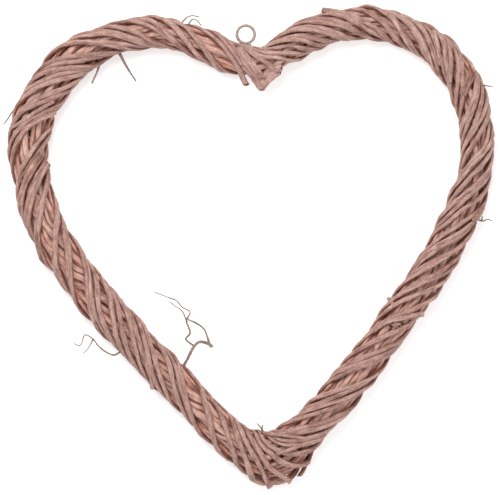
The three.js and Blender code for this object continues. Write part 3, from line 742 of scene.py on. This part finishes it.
for k in range(INNER_RODS):
    name = "inner_rod_%02d" % (k + 1)
    v, f, looks, smooth = inner_rod(k / INNER_RODS, LENGTH * (0.07 + k / INNER_RODS), 4.8, 300 + k)
    place(add_object(name + "_bark", v, outward(v, f), looks, smooth), PALE, "pale_willow", name)
for k in range(INNER_RODS):
    v, f, looks, smooth = inner_rod((k + 0.5) / INNER_RODS, LENGTH * (0.16 + k / INNER_RODS), 6.1, 320 + k, 4.3, 0.46)
    place(add_object("inner_rod_between_%d" % (k + 1), v, outward(v, f), looks, smooth), PALE, "pale_willow")

# more of them fill the middle of the bundle
for k in range(6):
    p, radial, apart = inner_path((k + 0.3) / 6, LENGTH * (0.11 + k / 6), LENGTH - INNER_GAP, 8.8, 3.0)
    radius = 2.3 + 0.1 * wander(380 + k, 4, 40)(np.arange(len(p)))
    v, f, looks, smooth = tube(p, radial, radius, 8, 83 + k, None, (0.3, 0.3), 0.9)
    place(add_object("inner_rod_middle_%d" % (k + 1), v, outward(v, f), looks, smooth), PALE, "pale_willow")


# and thin ones run along both edges
for k in range(4):
    s = np.arange(LENGTH * (0.13 + k / 4), LENGTH * (0.13 + k / 4) + LENGTH - INNER_GAP, 3.0)
    centre, way, _ = line_at(s)
    side, level = (1, 2)[k % 2], (2.6, -2.6)[k // 2]
    half = width_at(s, side) - (0.5 * tip_fan(s) if side == 1 else 0.0)
    steps_k = np.arange(len(s))
    p = centre + way * ((half - 2.3) * (1 if side == 1 else -1))[:, None]
    p[:, 2] = level + 0.7 * wander(390 + k, 4, 16)(steps_k)
    radial = way * (1 if side == 1 else -1)
    v, f, looks, smooth = tube(p, radial, 1.7 + 0.1 * wander(395 + k, 4, 20)(steps_k), 8, 91 + k, None, (0.3, 0.3), 0.8)
    place(add_object("inner_rod_edge_%d" % (k + 1), v, outward(v, f), looks, smooth), PALE, "pale_willow")


# ------------------------------------------------------------------ hanging ring
def hanging_ring():
    steps = 96
    f = np.arange(steps + 1) / steps
    a = math.radians(-68) + f * 2 * math.pi * 0.995
    p = np.stack([
        RING_CENTRE[0] + RING_RADIUS * np.cos(a),
        RING_CENTRE[1] + RING_RADIUS * np.sin(a),
        1.25 - 2.5 * f,
    ], -1)
    down = np.linspace(7.0, 0.6, 12)[:, None]
    first = p[0] + down * np.array([0.30, -0.95, 0.10])
    last = p[-1] + down[::-1] * np.array([-0.22, -0.95, -0.10])
    p = np.concatenate([first, p, last])
    for _ in range(3):
        p[1:-1] = (p[:-2] + 2 * p[1:-1] + p[2:]) / 4
    radial = np.tile([0.0, 0.0, 1.0], (len(p), 1))
    wobble = wander(77, 3, 30)(np.arange(len(p)))
    return tube(p, radial, RING_WIRE / 2 * (1 + 0.02 * wobble), 14, 7, None, (0.0, 0.0), 0.5)


v, f, looks, smooth = hanging_ring()
place(add_object("hanging_ring_wire", v, outward(v, f), looks, smooth), WIRE, "ring_wire", "hanging_ring")


# ------------------------------------------------------------------ stray twigs
def px(x, y, z=0.0):
    return ((x - 251.5) * 0.823, (248 - y) * 0.823, z)


def smooth_line(places, step=0.45):
    """A centripetal curve through a few places."""
    p = np.array(places, float)
    p = np.concatenate([[2 * p[0] - p[1]], p, [2 * p[-1] - p[-2]]])
    k = np.concatenate([[0.0], np.cumsum(np.sqrt(np.linalg.norm(np.diff(p, axis=0), axis=1)))])
    out = []
    for i in range(1, len(p) - 2):
        n = max(2, int(np.linalg.norm(p[i + 1] - p[i]) / step))
        t = np.linspace(k[i], k[i + 1], n, endpoint=i == len(p) - 3)[:, None]
        a1 = (k[i] - t) / (k[i] - k[i - 1]) * p[i - 1] + (t - k[i - 1]) / (k[i] - k[i - 1]) * p[i]
        a2 = (k[i + 1] - t) / (k[i + 1] - k[i]) * p[i] + (t - k[i]) / (k[i + 1] - k[i]) * p[i + 1]
        a3 = (k[i + 2] - t) / (k[i + 2] - k[i + 1]) * p[i + 1] + (t - k[i + 1]) / (k[i + 2] - k[i + 1]) * p[i + 2]
        b1 = (k[i + 1] - t) / (k[i + 1] - k[i - 1]) * a1 + (t - k[i - 1]) / (k[i + 1] - k[i - 1]) * a2
        b2 = (k[i + 2] - t) / (k[i + 2] - k[i]) * a2 + (t - k[i]) / (k[i + 2] - k[i]) * a3
        out.append((k[i + 1] - t) / (k[i + 1] - k[i]) * b1 + (t - k[i]) / (k[i + 1] - k[i]) * b2)
    return np.concatenate(out)


def twig(places, thick, thin, seed, level=0.0):
    p = smooth_line(places)
    p[:, 2] += level
    n = len(p)
    f = np.arange(n) / (n - 1)
    radius = TWIGGY * (thick + (thin - thick) * f) / 2
    radius = radius * (1 + 0.05 * wander(seed, 4, 9)(np.arange(n)))
    # wider where it meets what it grows from, and a small knuckle at its bends
    radius = radius * (1 + 0.25 * np.exp(-np.arange(n) / 3.0))
    radial = np.tile([0.0, 0.0, 1.0], (n, 1))
    facing = np.ones((n, 10)) * 0.6
    return tube(p, radial, radius, 10, seed, willow_relief(seed * 7 + 3, n * 0.45, 1.1), (0.2, -0.5), 0.4, facing)


TWIGGY = 1.12                                 # twigs look thicker by their bark than the bare model's
TWIGS = {
    "forked_twig_inside_left": (0.0, [
        ([px(184, 365, -3), px(187, 360, -1), px(193, 348), px(199, 342), px(209, 344), px(212, 347)], 2.1, 2.2),
        ([px(209.5, 344), px(207, 336), px(204, 329), px(196, 323), px(186.5, 319)], 1.5, 1.1),
        ([px(187, 319), px(190, 312), px(182, 307), px(177, 301), px(167, 297), px(154, 292)], 1.2, 0.6),
        ([px(194, 346), px(186, 339), px(190, 333), px(186, 321)], 1.5, 1.1),
        ([px(187, 322), px(182, 311), px(175, 306), px(169, 301)], 1.1, 0.6),
    ]),
    "curly_twig_outside_left": (0.0, [
        ([px(125, 350, -3), px(120, 352), px(114, 355), px(106, 352), px(98, 345.5), px(93, 339), px(85, 335), px(81, 344.5), px(79, 345.5), px(74, 343.5)], 1.4, 0.7),
        ([px(93, 339), px(91, 343.5), px(86, 351), px(83.5, 353)], 1.1, 0.7),
    ]),
    "thorn_under_left_lobe": (0.0, [([px(119, 52, -2), px(122, 58), px(128, 69), px(136, 81)], 2.2, 1.1)]),
    "shoot_under_left_lobe": (0.0, [([px(103, 52, -2), px(101, 60), px(97, 72), px(92, 83)], 1.9, 1.2)]),
    "shoot_outside_left_lobe": (0.0, [([px(16, 107, -1), px(11.5, 113), px(7, 120), px(3.6, 124)], 1.3, 0.7)]),
    "shoot_on_left_lobe": (3.0, [([px(180, 25, -3), px(184.6, 20), px(188, 17.2), px(192, 16), px(199, 17)], 1.2, 0.7)]),
    "shoot_on_left_lobe_2": (-3.0, [([px(186, 27), px(189, 23), px(192, 19.5), px(196.5, 20), px(201, 25)], 1.2, 0.7)]),
    "shoot_outside_right_lobe": (0.0, [([px(481, 84.5, -1), px(485.5, 85.5), px(489, 86.2), px(493, 87)], 1.1, 0.7)]),
    "shoot_outside_right_arm": (0.0, [
        ([px(474, 219, -1), px(478.5, 220), px(483, 221), px(488, 219.4), px(492, 221)], 1.2, 0.7),
        ([px(481, 220.6), px(482.4, 218.4), px(482.0, 216.2)], 0.9, 0.6),
    ]),
    "shoot_at_inner_corner": (0.0, [
        ([px(263, 431.5), px(261, 427.5), px(259, 425.5), px(257, 423.5)], 1.5, 0.8),
        ([px(262.4, 431), px(262.2, 428), px(262.8, 424.8)], 1.3, 0.8),
    ]),
}
for n_twig, (node, (level, branches)) in enumerate(TWIGS.items()):
    parts = [twig(places, thick, thin, 800 + 10 * n_twig + j, level) for j, (places, thick, thin) in enumerate(branches)]
    v, f, looks, smooth = joined(parts)
    place(add_object(node + "_bark", v, f, looks, smooth), TWIG, "bare_twig", node)


# ------------------------------------------------------------------ split rods, stubs and fibres
def split_rod(name, places, wide, flat, seed, material, slot, tint=0.3, cut=(0.2, -0.2), step=0.45):
    """A short length of rod lying on or in the weave, wide by (1 - flat) / (1 + flat) of that deep."""
    p = smooth_line(places, step)
    n = len(p)
    radius = wide / 2 / (1 + flat) * (1 + 0.04 * wander(seed, 4, 14)(np.arange(n)))
    radial = np.tile([0.0, 0.0, 1.0], (n, 1))
    v, f, looks, smooth = tube(p, radial, radius, 14, seed % 89, willow_relief(seed, n * step, 0.8, flat), cut, tint, None, 0.3)
    looks["facing"] = np.maximum(looks["facing"], -0.2)
    place(add_object(name, v, outward(v, f), looks, smooth), material, slot)


# at the cleft four split rods lie side by side and fold over into a V
for k in range(4):
    split_rod("split_rod_at_cleft_%d" % (k + 1), [
        px(230 + 3.4 * k, 50 - 0.6 * k, 8.5), px(242 + 2.9 * k, 65 - 0.9 * k, 11.6), px(253.2 + 1.8 * k, 78.5 - 2.2 * k, 10.6),
        px(261.4 + 0.1 * k, 88.6 - 3.6 * k, 7.6 + 0.5 * k), px(268.6 - 0.2 * k, 81.6 - 3.5 * k, 9.8), px(275.0 + 0.6 * k, 76.4 - 3.9 * k, 10.8),
        px(279.6 + 1.3 * k, 73.0 - 4.2 * k, 10.2),
    ], 4.4, 0.34, 500 + k, ROSE, "rose_willow", (0.1, 0.45, 0.0, 0.3)[k], (0.1, -1.3))

# at the tip inner rods run out under the fanned ones
for k, places in enumerate((
    [(229, 442, -2), (244, 459, -4), (260, 471, -5), (275, 475.5, -5), (289, 470, -5), (301, 456, -4), (312, 440, -2)],
    [(232, 436, 1), (247, 450, 0), (261, 459.5, 0), (274, 462, 0), (287, 457, 0), (299, 445, 0), (309, 432, 1)],
    [(226, 450, -6), (240, 466, -8), (256, 478, -9), (273, 483.5, -9), (288, 479, -9), (299, 465, -8), (310, 450, -6)],
)):
    split_rod("inner_rod_at_tip_%d" % (k + 1), [px(*q) for q in places], 4.9, 0.1, 520 + k, PALE, "pale_willow", 0.4)
split_rod("thin_rod_at_tip", [px(266.5, 481, -2), px(269.5, 476, 1), px(273, 468, 3), px(277, 460, 4)], 2.3, 0.1, 530, ROSE, "rose_willow")

# thin rods that lie across the others on the upper face
for k, (places, wide) in enumerate((
    ([(12.9, 128, 7), (25, 121, 13.2), (38, 112.5, 15.9), (55, 102, 12.5)], 3.0),
    ([(16.6, 134, 9), (28, 128, 14.2), (42, 121, 16.2), (57, 113.4, 12)], 2.8),
    ([(433.2, 31, 5), (435, 40, 14.6), (437, 52, 16.6), (438.5, 66, 10.5)], 3.7),
    ([(446.8, 42, 5), (448.5, 52, 14.8), (449.5, 66, 16.6), (449, 83, 10.5)], 3.7),
    ([(265, 432.4, 10), (284, 434.0, 16.2), (306, 437.5, 14.5)], 2.9),
    ([(277, 452, 13.5), (289, 448.4, 17.0), (300.5, 443.2, 16.4)], 3.4),
)):
    split_rod("thin_rod_across_%d" % (k + 1), [px(*q) for q in places], wide, 0.08, 560 + k, ROSE, "rose_willow", 0.15 + 0.12 * k)

# cut ends and a rod lying across on top of the winding
split_rod("stub_at_ring", [px(217.2, 33.6, 4), px(222.5, 40.0, 9.5), px(229.5, 48.5, 14.4), px(237, 58, 15.2), px(242, 66, 13.0)], 3.7, 0.08, 540, ROSE, "rose_willow", 0.9)
split_rod("rod_across_right_arm", [
    px(374, 330, 8), px(382, 323, 13), px(392, 319, 16.6), px(404, 317.4, 17.0), px(414, 315, 14.6), px(422.5, 313.8, 10)], 4.6, 0.1, 541, ROSE, "rose_willow")
split_rod("stub_on_right_arm", [px(388.0, 298.2, 3), px(390.5, 301.5, 5.5), px(394, 306, 8)], 3.4, 0.08, 542, ROSE, "rose_willow")


def tuft(name, at, seed, count, reach, level):
    """Loose bark fibres on the weave."""
    r = np.random.default_rng(seed)
    parts = []
    for k in range(count):
        a = r.random() * 2 * math.pi
        x, y = at[0] + reach * 0.5 * (r.random() - 0.5), at[1] + reach * 0.5 * (r.random() - 0.5)
        bend = (r.random() - 0.5) * 1.6
        places = [px(x, y, level - 1.2)]
        for j in range(1, 4):
            a += bend / 2
            x, y = x + math.cos(a) * reach * 0.22, y + math.sin(a) * reach * 0.22
            places.append(px(x, y, level + 0.5 * math.sin(j) + 0.4 * r.random()))
        parts.append(twig(places, 1.2 + 0.7 * r.random(), 0.6, seed + 3 * k))
    v, f, looks, smooth = joined(parts)
    place(add_object(name, v, f, looks, smooth), ROSE, "rose_willow")


def frayed(name, start, end, seed, count, across, levels):
    """Split bark along a rod, its fibres lying side by side."""
    r = np.random.default_rng(seed)
    way = np.array(end, float) - np.array(start, float)
    side = np.array([-way[1], way[0]]) / np.linalg.norm(way)
    parts = []
    for k in range(count):
        a, b = 0.35 * r.random(), 0.65 + 0.35 * r.random()
        off, bend = across * (r.random() - 0.5), across * 0.9 * (r.random() - 0.5)
        places = []
        for f, lift in ((a, -1.0), (a + (b - a) * 0.33, 0.3 * r.random()), (a + (b - a) * 0.66, 0.5 * r.random()), (b, 0.6 - 1.4 * r.random())):
            q = np.array(start) + way * f + side * (off + bend * (f - a) + 0.5 * (r.random() - 0.5))
            places.append(px(q[0], q[1], levels[0] + (levels[1] - levels[0]) * f + lift))
        parts.append(twig(places, 1.1 + 0.7 * r.random(), 0.6, seed + 3 * k))
    v, f, looks, smooth = joined(parts)
    place(add_object(name, v, f, looks, smooth), FRAY, "rose_willow")


frayed("frayed_bark_left", (23, 186), (43, 150), 601, 16, 9.0, (13.8, 14.4))
frayed("frayed_bark_right_lobe", (460, 96), (472, 70), 617, 12, 8.0, (15.0, 13.6))
frayed("frayed_bark_left_lobe", (44, 80), (66, 66), 641, 9, 7.0, (14.0, 14.8))
frayed("frayed_bark_right", (470, 222), (482, 208), 655, 9, 6.0, (13.0, 11.5))
tuft("loose_bark_right_arm", (396, 325), 631, 7, 8.0, 15.6)
tuft("loose_bark_cleft", (260.5, 78), 653, 6, 6.0, 12.2)


# ------------------------------------------------------------------ floor, light and camera
def floor():
    me = bpy.data.meshes.new("floor")
    h = 3.0
    me.from_pydata([(-h, -h, 0), (h, -h, 0), (h, h, 0), (-h, h, 0)], [], [(0, 1, 2, 3)])
    o = bpy.data.objects.new("floor", me)
    o.location.z = -0.0002
    bpy.context.scene.collection.objects.link(o)
    m = Nodes("floor")
    m.shader.inputs["Base Color"].default_value = (0.78, 0.78, 0.78, 1)
    m.shader.inputs["Roughness"].default_value = 0.8
    m.shader.inputs["Emission Color"].default_value = (1, 1, 1, 1)
    m.shader.inputs["Emission Strength"].default_value = 0.42
    me.materials.append(m.mat)


floor()


def area(name, place_at, target, size, power, colour=(1, 1, 1)):
    d = bpy.data.lights.new(name, "AREA")
    d.shape = "DISK"
    d.size = size
    d.energy = power
    d.color = colour
    o = bpy.data.objects.new(name, d)
    o.location = place_at
    o.rotation_mode = "QUATERNION"
    o.rotation_quaternion = (Vector(target) - Vector(place_at)).to_track_quat("-Z", "Y")
    bpy.context.scene.collection.objects.link(o)
    return o


area("key", (-0.35, 0.75, 1.5), (0, 0, 0), 0.9, 20.0, (1.0, 0.985, 0.97))
area("fill", (0.8, -0.5, 1.4), (0, 0, 0), 1.0, 6.0)

world = bpy.data.worlds.new("studio")
bpy.context.scene.world = world
world.use_nodes = True
world.node_tree.nodes["Background"].inputs["Color"].default_value = (1, 1, 1, 1)
world.node_tree.nodes["Background"].inputs["Strength"].default_value = 0.62

camera = bpy.data.cameras.new("camera")
camera.lens = 200.0
camera.sensor_width = 36.0
PLANE = 0.0155                                # the level at which the framing is set
SEEN = 0.4115                                 # width seen there
distance = SEEN * camera.lens / camera.sensor_width
camera.clip_end = 50.0
cam = bpy.data.objects.new("camera", camera)
cam.location = ((SHIFT[0] - 1.2345) / 1000, (SHIFT[1] + 0.4115) / 1000, PLANE + distance)
bpy.context.scene.collection.objects.link(cam)
bpy.context.scene.camera = cam

view = bpy.context.scene.view_settings
view.view_transform = "Standard"
view.look = "None"
